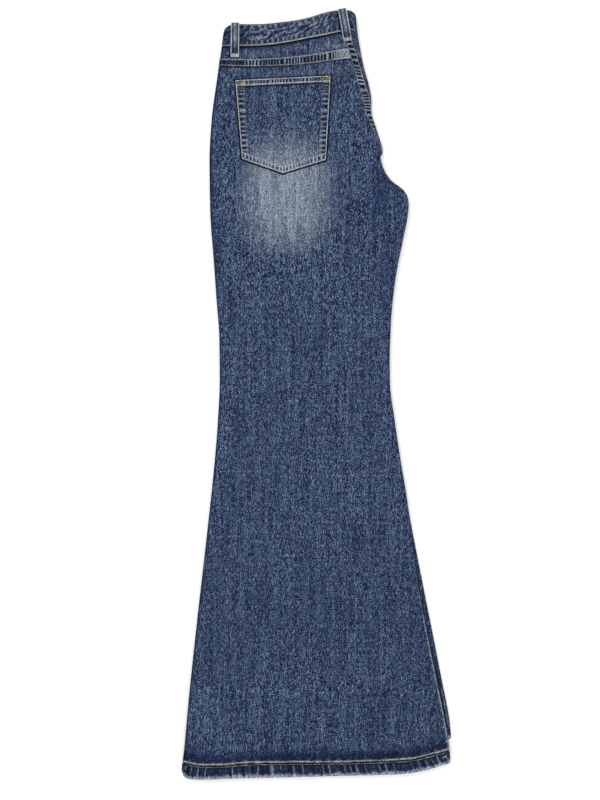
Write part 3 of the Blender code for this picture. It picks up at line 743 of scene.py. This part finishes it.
def closedRing(name, segments, line, profile, material, marksOf, whole=0.0):
    # a ring whose rows go down its outer face and back up its inner one; whole is the depth of a ring
    # that also turns inside its own fold
    shares, inset = np.array(profile, float).T
    x, down, height = ringPlaces(segments, line, shares, inset, whole - inset)
    marks, lift = marksOf(x, down, height, shares[:, None] + 0 * x, inset[:, None] + 0 * x)

    def closed(grid):
        # the last column and the last row lie on the first ones
        grid = np.concatenate([grid[:, :-1], grid[:, :1]], 1)
        return np.concatenate([grid, grid[:1]], 0)

    places = [closed(grid) for grid in (x, down, height + lift)]
    marks = {key: closed(value) for key, value in marks.items()}
    return clothSheet(name, places, marks, material, ring=True)


def bandMarks(x, down, height, share, inset):
    # ropes rise to the right, flatter at the outseam's side, between a row of dents along each edge
    outside = eased((height - 9) / 1.5) * (inset < 1.2)
    low = share * band["width"]
    tilt = np.radians(np.interp(x, (-120, -60, -15, 15, 45), (20, 24, 36, 56, 76)))
    warp = 0.5 * blotch(x, low, 12, 8, 51) + 0.28 * blotch(x, low, 5, 4, 52)
    rope = np.sin(2 * math.pi * ((x * np.sin(tilt) + low * np.cos(tilt)) / band["spacing"] + warp))
    along = (x * np.cos(tilt) - low * np.sin(tilt)) / 13 + 0.5 * blotch(x, low, 9, 9, 54)
    rope = rope * (0.62 + 0.38 * np.sin(2 * math.pi * along)) + 0.45 * blotch(x, low, 3.4, 2.8, 53)
    foot, head = near(share, 0.84, 0.11), near(share, 0.13, 0.12)
    dents, nicks = pucker(x, 7.4, 55), pucker(x, 8.6, 57)
    middle = eased(np.minimum(share - 0.2, 0.76 - share) * 9 + 0.4)
    draw = middle * rope + foot * dents + 0.8 * head * nicks
    lift = outside * band["rope"] * draw * eased(np.minimum(share, 1 - share) * 12)
    ends = eased((x + 104) / 14) * eased((26 - x) / 16)
    piping = near(share, 0.972, 0.034)
    onPiping = 0.6 + 0.6 * eased((x + 92) / 30) * eased((40 - x) / 20)
    pale = (0.4 * eased(draw * 0.75 + 0.3) * (0.4 + 0.6 * ends) + 0.5 * eased(1 - share / 0.03)
            + piping * onPiping)
    # dark in the ropes' dips and the dents along the edges: darker dye that runs on to painted shade
    dark = (1.15 * eased(-draw * 0.9 + 0.15) + 1.1 * foot * eased(-dents * 1.3)
            + 0.7 * head * eased(-nicks * 1.3))
    deep = dark * (1 - piping) + 0.25 * (1 - ends) + 1.5 * near(share, 0.925, 0.022) * ends
    # shade beside the two loops, of which the one at the back leans
    lean = 36 + 8.3 * (down - 1) / 45.5
    deep = deep + 1.9 * near(x, -106.4, 3.2) + 1.2 * near(x, -123.2, 1.8)
    deep = deep + 1.9 * near(x, lean - 7.8, 2.4) + 1.6 * near(x, lean + 7.4, 2.0)
    deep = np.clip(deep, 0, 2) * outside + 0.3 * (1 - outside)
    return dict(pale=np.clip(pale, 0, 1) * outside, deep=deep), lift


# Each row's share of the band's width and its depth under the face
outer = [(0, 1.2), (0.004, 0.6), (0.02, 0.2)]
outer += [(share, 0.0) for share in np.linspace(0.05, 0.95, band["rows"])]
outer += [(0.98, 0.05), (0.996, 0.25), (1, 0.6)]
inner = [(1, 1.8), (0.98, 2.3), (0.6, 2.4), (0.3, 2.4), (0.02, 2.3), (0, 1.8)]
waistband = closedRing("waistbandRing", bandSegments(150), upper.bandLine, outer + inner, wornDenim,
                       bandMarks, whole=bandTube)
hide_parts("waistband")
print("waistband made")


# Hems: flattened rings, drawn into slanting ropes by their stitching
def hemSegments(half, fine, under):
    bottom = hemTube + stack["seamGap"] if half.upper else 0.0
    cover, meeting = (bottom + hemTube, bottom) if half.upper else (0.0, hemTube)
    rim = dict(roll=stack["edgeRoll"], cover=cover, middle=(cover + meeting) / 2, meeting=meeting)
    toward = -1 if half.upper else 1
    flat = dict(roll=stack["foldRoll"])
    return [
        ringSegment(half, "left", 6, (1, 0), **rim),
        ringSegment(half, "out", fine, flatAt=lambda inset: cover + toward * inset, **flat),
        ringSegment(half, "right", 13, (0, 2), **rim),
        ringSegment(half, "home", under, flatAt=lambda inset: meeting - toward * inset, **flat),
        ringSegment(half, "left", 6, (2, 1), **rim),
    ]


def hemMarks(x, down, height, share, inset):
    # thin slanting ridges between dark dips, and a frayed pale edge
    outside = (inset < 1.3) * 1.0
    lean = x - (3 + x / 30) * share + 1.2 * wobble(share * 16, 5, 62)
    draw = pucker(lean, 15, 61, 0.75)
    fine = pucker(lean, 6.1, 63, 0.7)
    stripe = lean / 11 + 0.6 * wobble(lean, 19, 64)
    fromRidge = np.abs(stripe - np.rint(stripe)) * 11
    ridge = eased(1.1 - fromRidge / (0.8 + 0.3 * wobble(lean, 7, 62)))
    ridge = ridge * eased(0.65 + 0.8 * wobble(lean, 13, 60))
    fray = 0.27 + 0.1 * wobble(x, 4.5, 65) + 0.05 * wobble(x, 1.3, 69)
    edge = eased(1.2 - (1 - share) / fray)
    lift = outside * eased(np.minimum(share, 1 - share) * 8) * (0.3 * draw + 0.12 * fine)
    lift = np.where(height > stack["hemCloth"] * 2 + 3, lift, 0)    # the upper hem's top face alone
    shade = eased(1.2 - share / 0.05) + near(share, 0.19, 0.045, 1.1)
    pale = 0.58 * ridge * (share > 0.16) + 0.98 * edge * (0.7 + 0.3 * wobble(x, 1.9, 66))
    # the hem's dark cloth, darker in the dips of its draw and along the two shade lines, as painted shade
    deep = (1.08 + 0.45 * eased(-draw) + 0.6 * shade) * (1 - edge) * (1 - 0.8 * ridge)
    return dict(pale=np.clip(pale, 0, 1) * outside, deep=np.clip(deep, 0, 2)), lift


hemOuter = [(0, 0.9), (0.01, 0.4)] + [(share, 0.0) for share in np.linspace(0.05, 0.88, 13)]
hemOuter += [(0.93, 0.08), (0.97, 0.3), (0.99, 0.65), (1, 1.2)]
hemInner = [(0.995, 1.9), (0.97, 2.4), (0.6, 2.6), (0.1, 2.6), (0, 2.0)]
hemDenim = denim("hemDenim", contrast=0.9)
hems = ((upper, "leftHem", "left_hem", 330, 90), (lower, "rightHem", "right_hem", 90, 170))
for half, name, node, fine, under in hems:
    ring = closedRing(name, hemSegments(half, fine, under), half.hemLine, hemOuter + hemInner, hemDenim,
                      hemMarks)
    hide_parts(node)
print("hems made")

# Fronts, folded inside: only their rolled edges and hem ends show
fronts = ((upper, "leftFront", "left_front_panel"), (lower, "rightFront", "right_front_panel"))
for half, name, node in fronts:
    rows = np.linspace(stack["waistRow"] + stack["seamGap"], stack["hemRow"] - stack["seamGap"], 150)
    uu, vv = np.meshgrid(spans((-1, 0, 6), (0, 1, 28), (1, 2, 7)), rows)
    x, down, height = frontForm(half, uu, vv)
    past = x - upper.right(down)
    apart = 0 * uu if half.upper else eased((down - 820) / 160)
    # darker overall and more where the legs part, with a painted shadow of the top leg's edge along the lower
    # front
    deep = 0.3 + 0.4 * apart + 1.3 * apart * eased(1 - (past + 0.5) / 3.6)
    strip = (0.45 * (apart > 0) * eased((down - 930) / 60) * near(past, 4.2, 1.0, 1.1)
             * eased(0.5 + wobble(down, 9, 29)))
    front = clothSheet(name, (x, down, height), dict(deep=deep, pale=strip), innerDenim,
                       stack["cloth"], flip=half.upper)
    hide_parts(node)

# Back pocket, its turned edges drawn in by two rows of stitching
pocket = dict(hem=8.0, rim=12.0, footRim=10.0, soft=0.8, thick=1.0, gap=0.3, cloth=1.2, rise=0.5, draw=0.3,
              fall=0.55, columns=138, rows=130)
topLeft, topRight, lowRight, tip, lowLeft = pocketEdge


def pocketColumn(u):
    # where a column of the pocket starts at the top edge and ends at the foot
    footX = lowLeft[0] + u * (lowRight[0] - lowLeft[0])
    footDown = np.interp(footX, (lowLeft[0], tip[0], lowRight[0]), (lowLeft[1], tip[1], lowRight[1]))
    headX = topLeft[0] + u * (topRight[0] - topLeft[0])
    headDown = topLeft[1] + u * (topRight[1] - topLeft[1])
    return headX, headDown, footX, footDown


def within(reach, away):
    # 1 inside a turned edge of that reach, 0 past it
    return eased((reach - away) / pocket["soft"] + 0.5)


def pocketForm(u, v):
    # the pocket's places, the distance to its nearest edge, how far it is turned in, the draw of its
    # thread, and the distances to its side, top and foot
    u, v = np.broadcast_arrays(np.asarray(u, float), np.asarray(v, float))
    headX, headDown, footX, footDown = pocketColumn(u)
    x, down = headX + v * (footX - headX), headDown + v * (footDown - headDown)
    width, tall = topRight[0] - topLeft[0], footDown - headDown
    side, head, foot = np.minimum(u, 1 - u) * width, v * tall, (1 - v) * tall
    sideDraw, headDraw, footDraw = pucker(down, 6.6, 71, 0.8), pucker(x, 4.5, 73), pucker(x, 4.6, 75)
    turned = np.maximum(within(pocket["rim"], side), within(pocket["hem"], head))
    turned = np.maximum(turned, within(pocket["footRim"], foot))
    draw = np.where(head < pocket["hem"], headDraw, np.where(foot < pocket["footRim"], footDraw, sideDraw))
    edge = np.minimum(np.minimum(side, head), foot)
    height = (face(x, down) + pocket["gap"] + pocket["cloth"] + pocket["rise"] * turned
              + pocket["draw"] * draw * turned * eased(edge / 2.5) - pocket["fall"] * eased(1 - edge / 1.1))
    return x, down, height, edge, turned, draw, side, head, foot


uu, vv = np.meshgrid(np.linspace(0, 1, pocket["columns"]), np.linspace(0, 1, pocket["rows"]))
x, down, height, edge, turned, draw, side, head, foot = pocketForm(uu, vv)
inRim = turned * eased((edge - 1.7) / 0.8)
level = np.maximum(within(pocket["footRim"], foot), within(pocket["hem"], head))
pale = 1.3 * eased(1.3 - edge / 1.15) + inRim * (0.5 + 0.35 * level) * eased(draw * 1.1 - 0.05)
pale = pale + 0.75 * near(head, pocket["hem"] - 0.6, 1.5) + 0.4 * near(foot, 9.4, 1.4)
uneven = blotch(x, down, 3.1, 2.3, 77)
low, underHem = foot <= pocket["footRim"], head > pocket["hem"]
sideRim = (side < pocket["rim"]) & underHem & ~low
narrow = np.where(sideRim, near(side, 5.4, 3.4 + 1.2 * uneven, 1.25), 1)
narrow = np.where(low, near(foot, 4.6, 1.7 + 0.6 * uneven, 1.2), narrow)
# dark in the rims' thread dips: darker dye that runs on to painted shade
deep = inRim * 1.9 * eased(-draw * 1.15 + 0.3 + 0.35 * uneven) * (head > 1.5) * narrow
# a painted shadow below the pocket's top hem, then dark lines along the side rims' inner edge and 3 mm in
# from each side
deep = deep + 1.9 * near(head, pocket["hem"] + 2.0, 2.2) * eased((side - 3) / 2)
deep = deep + 0.75 * near(side, pocket["rim"] + 0.6, 2.2) * underHem
deep = deep + 1.7 * near(side, 3.0, 1.1, 1.1) * underHem * ~low
deep = np.clip(deep, 0, 2) * (1 - 0.8 * np.clip(pale, 0, 1))
backPocket = clothSheet("backPocket", (x, down, height), dict(deep=deep, pale=pale), pocketDenim,
                        pocket["thick"])
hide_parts("left_back_pocket")
print("pocket made")

# Belt loops: straps with two grooves, bowed over the waistband
loops = [
    dict(name="sideLoop", node="side_belt_loop", start=(-115.8, 21), end=(-116.2, 69.5), seed=81),
    dict(name="centreBackLoop", node="centre_back_belt_loop", start=(36, 1), end=(44.3, 46.5), seed=85),
]
loopShape = dict(width=12, bow=1.2, bowed=0.85, clear=0.3, high=2.0, thick=1.6, groove=0.35)


def loopForm(loop, u, share):
    # a strap's places, and how far each lies from its middle line
    (x0, down0), (x1, down1) = loop["start"], loop["end"]
    runX, runDown = x1 - x0, down1 - down0
    length = np.hypot(runX, runDown)
    u, share = np.broadcast_arrays(np.asarray(u, float), np.asarray(share, float))
    x = x0 + runX * share + runDown / length * loopShape["width"] * (u - 0.5)
    down = down0 + runDown * share - runX / length * loopShape["width"] * (u - 0.5)
    seat = face(x0 + runX * share, down0 + runDown * share) + stack["lapRise"]
    rest = bandTop + (seat - bandTop) * eased((share - 0.76) / 0.12)
    bow = loopShape["bow"] * np.sin(math.pi * np.clip(share / loopShape["bowed"], 0, 1))
    aside = np.abs(u - 0.5) * 2
    groove = loopShape["groove"] * near(aside, 0.5, 0.16)
    pull = 0.16 * pucker(share * length + 3 * u, 4.4, loop["seed"])
    edges = 0.6 * eased((aside - 0.86) / 0.14)
    tacked = 0.3 * near(share, 0.95, 0.03)
    height = rest + loopShape["clear"] + bow + loopShape["high"] - groove - edges + pull - tacked
    return x, down, height, aside


loopDenim = denim("loopDenim", contrast=0.8)
for loop in loops:
    uu, vv = np.meshgrid(np.linspace(0, 1, 19), np.linspace(0, 1, 52))
    x, down, height, aside = loopForm(loop, uu, vv)
    mottle = 0.5 + 0.5 * wobble(vv * 48 + 5 * uu, 4.5, loop["seed"])
    grooved = near(aside, 0.52, 0.26, 1.15)
    worn = (0.3 + 0.25 * mottle) * (1 - 0.75 * eased((vv - 0.5) / 0.3))
    pale = worn * (1 - 0.9 * grooved) + eased((aside - 0.76) / 0.12)
    pale = np.where(vv > 0.915, 0.95 * (0.7 + 0.3 * mottle), pale)
    # dark in the two grooves, darker dye that runs on to painted shade, and darker towards the foot
    deep = 1.8 * grooved * (0.6 + 0.4 * mottle) + 1.5 * eased((vv - 0.62) / 0.2) * (1 - grooved)
    deep = deep * (vv < 0.9) * (aside < 0.85)
    strap = clothSheet(loop["name"], (x, down, height), dict(deep=deep, pale=pale), loopDenim,
                       loopShape["thick"])
    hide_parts(loop["node"])
print("loops made")


# Thread: small long beads, half sunk in the cloth, joined into one piece for each seam
def threadLook(name, main, light, dark):
    twists = 2600    # a metre
    look = Look(name, 0.7, 0.15)
    shade = look.noise((900, 900, 900), 2.0)
    colour = look.mix(shade.ramp(0.35, 0.7), linear(*dark), linear(*main))
    colour = look.mix(look.noise((160, 160, 160), 1.0).ramp(0.5, 0.7), colour, linear(*light))
    across, up = look.sides(look.place)
    ply = ((across + up) * (twists * 2 * math.pi)).math("SINE")
    return look.finish(colour, ply * 0.5 + shade, 0.5, 0.00015)


cream = threadLook("creamThread", (186, 180, 162), (222, 218, 206), (128, 120, 98))
beige = threadLook("beigeThread", (146, 140, 120), (200, 195, 182), (84, 78, 62))
olive = threadLook("oliveThread", (118, 113, 88), (172, 166, 138), (60, 56, 42))
gold = threadLook("goldThread", (146, 130, 70), (190, 178, 116), (98, 76, 46))


def sew(name, lines, material, pitch=3.1, long=2.3, wide=0.7, high=0.45, seed=1):
    # each line is an array of places on the cloth; a bead lies along it at every pitch
    rng = np.random.default_rng(seed)
    shape = bmesh.new()
    count = 0
    for places in lines:
        world = toWorld(*places)
        steps = np.linalg.norm(np.diff(world, axis=0), axis=1)
        along = np.concatenate([[0], np.cumsum(steps)]) / mm
        for start in np.arange(0.8, along[-1] - long, pitch):
            start = start + rng.uniform(-0.15, 0.15)
            first, last = (Vector([np.interp(at, along, world[:, i]) for i in range(3)])
                           for at in (start, start + long))
            run, centre = last - first, (first + last) / 2
            turn = run.to_track_quat("X", "Z").to_matrix().to_4x4()
            size = Matrix.Diagonal((long * mm * 1.06, wide * mm, high * mm, 1))
            bmesh.ops.create_uvsphere(shape, u_segments=6, v_segments=4, radius=0.5,
                                      matrix=Matrix.Translation(centre) @ turn @ size)
            count += 1
    mesh = bpy.data.meshes.new(name)
    shape.to_mesh(mesh)
    shape.free()
    addPiece(mesh, material)
    print(name, count, "stitches")


def raised(places, by=0.05):
    return places[0], places[1], places[2] + by


flatU = spans((-0.5, 0, 5), (0, 1, 300), (1, 1.62, 40))
yokeRows = (lapStart + 0.8, stack["yokeRow"] - 0.95)
yokeLines = [raised(yokeForm(flatU, np.full_like(flatU, row))[:3]) for row in yokeRows]
sew("yokeStitches", yokeLines, beige, wide=0.6, seed=2)
seatRows = np.linspace(stack["waistRow"] + 2, lap["end"] - 1, 500)
seatLines = [raised(lapForm(share, seatRows)[:3]) for share in (0.09, 0.9)]
sew("seatStitches", seatLines, beige, wide=0.6, seed=3)


def pocketLine(inset, inHead=False):
    # down one side, round the tip and up the other, or across under the top edge
    width, deepest = topRight[0] - topLeft[0], 8.8

    def tall(u):
        _, headDown, _, footDown = pocketColumn(u)
        return footDown - headDown

    def foot(u):
        return 1 - min(inset, deepest) / tall(u)

    if inHead:
        u = np.linspace(1.5 / width, 1 - 1.5 / width, 240)
        return raised(pocketForm(u, inset / tall(u))[:3])
    edgeU = inset / width
    down = np.linspace(0.012, 1, 200)
    across = np.linspace(edgeU, 1 - edgeU, 260)
    u = np.concatenate([np.full(200, edgeU), across, np.full(200, 1 - edgeU)])
    v = np.concatenate([down * foot(edgeU), foot(across), (down * foot(1 - edgeU))[::-1]])
    return raised(pocketForm(u, v)[:3])


pocketLines = [pocketLine(1.0), pocketLine(1.0, True), pocketLine(6.9, True)]
sew("pocketStitches", pocketLines, cream, wide=0.75, seed=5)
sew("innerPocketStitches", [pocketLine(11.6)], olive, wide=0.6, seed=4)


def bandStitches(share):
    x = np.linspace(-126, 52, 500)
    return x, upper.bandLine(x, share), 0 * x + bandTop + 0.12


sew("waistStitches", [bandStitches(0.075)], beige, seed=6)
sew("waistSeamStitches", [bandStitches(0.955)], cream, wide=0.9, seed=10)


def hemStitches(half, start, end, count, share, top):
    x = np.linspace(start, end, count)
    return x, half.hemLine(x, share), 0 * x + top + 0.1


sew("hemStitches", [hemStitches(upper, -184, 184, 700, 0.07, hemTop)], olive,
    pitch=3.0, long=2.8, wide=1.3, high=0.6, seed=7)
sew("underHemStitches", [hemStitches(lower, 150, 189, 80, share, hemTube) for share in (0.02, 0.13)], beige,
    pitch=2.9, long=2.6, wide=1.0, high=0.6, seed=8)


def tack(x, down, barX, barDown, runX=-0.6, runDown=-5.6, pitch=1.15, rise=2.35):
    # a bar tack on the pocket: short beads side by side, each across the bar
    ends = np.array([-0.5, 0.5])
    lines = []
    for share in np.linspace(-0.5, 0.5, int(math.hypot(barX, barDown) / pitch)):
        atX, atDown = x + barX * share + runX * ends, down + barDown * share + runDown * ends
        lines.append((atX, atDown, face(atX, atDown) + rise))
    return lines


sew("pocketTacks", tack(-107.5, 106.6, 12.5, -0.6) + tack(12.3, 100.9, 12, -0.6), gold,
    pitch=9, long=4.2, wide=0.8, high=0.8, seed=9)
print("thread made")

# Floor, light and camera
studio = dict(sky=1.15, key=22.0, fill=10.0, floor=0.96, shade=0.92, distance=2.68, lens=85, high=1.136)
shape = bmesh.new()
bmesh.ops.create_grid(shape, x_segments=1, y_segments=1, size=4)
bmesh.ops.translate(shape, verts=shape.verts, vec=(0, 0, -0.0003))
mesh = bpy.data.meshes.new("floor")
shape.to_mesh(mesh)
shape.free()
paper = Look("paleFloor", 0.9)
white, shade = ((studio[key],) * 3 + (1,) for key in ("floor", "shade"))
mesh.materials.append(paper.finish(paper.mix(paper.noise((3, 3, 3), 2.0) * 0.2, white, shade)))
floor = bpy.data.objects.new("floor", mesh)
bpy.context.scene.collection.objects.link(floor)

world = bpy.data.worlds.new("softRoom")
world.use_nodes = True
world.node_tree.nodes["Background"].inputs["Color"].default_value = (1, 1, 1, 1)
world.node_tree.nodes["Background"].inputs["Strength"].default_value = studio["sky"]
bpy.context.scene.world = world
lamps = (("key", (-1.3, 1.0, 2.0), studio["key"], 1.4), ("fill", (1.6, -1.2, 2.2), studio["fill"], 2.0))
for name, place, power, size in lamps:
    lamp = bpy.data.lights.new(name, "AREA")
    lamp.energy, lamp.size = power, size
    light = bpy.data.objects.new(name, lamp)
    light.location = place
    light.rotation_euler = (Vector((0, 0, 0)) - Vector(place)).to_track_quat("-Z", "Y").to_euler()
    bpy.context.scene.collection.objects.link(light)

camera = bpy.data.cameras.new("camera")
camera.lens, camera.sensor_fit = studio["lens"], "VERTICAL"
camera.sensor_height = studio["high"] / studio["distance"] * studio["lens"]
eye = bpy.data.objects.new("camera", camera)
eye.location = (-0.0237, -0.009, studio["distance"] + 0.012)
bpy.context.scene.collection.objects.link(eye)
bpy.context.scene.camera = eye
bpy.context.scene.view_settings.view_transform = "Standard"
print("studio made")
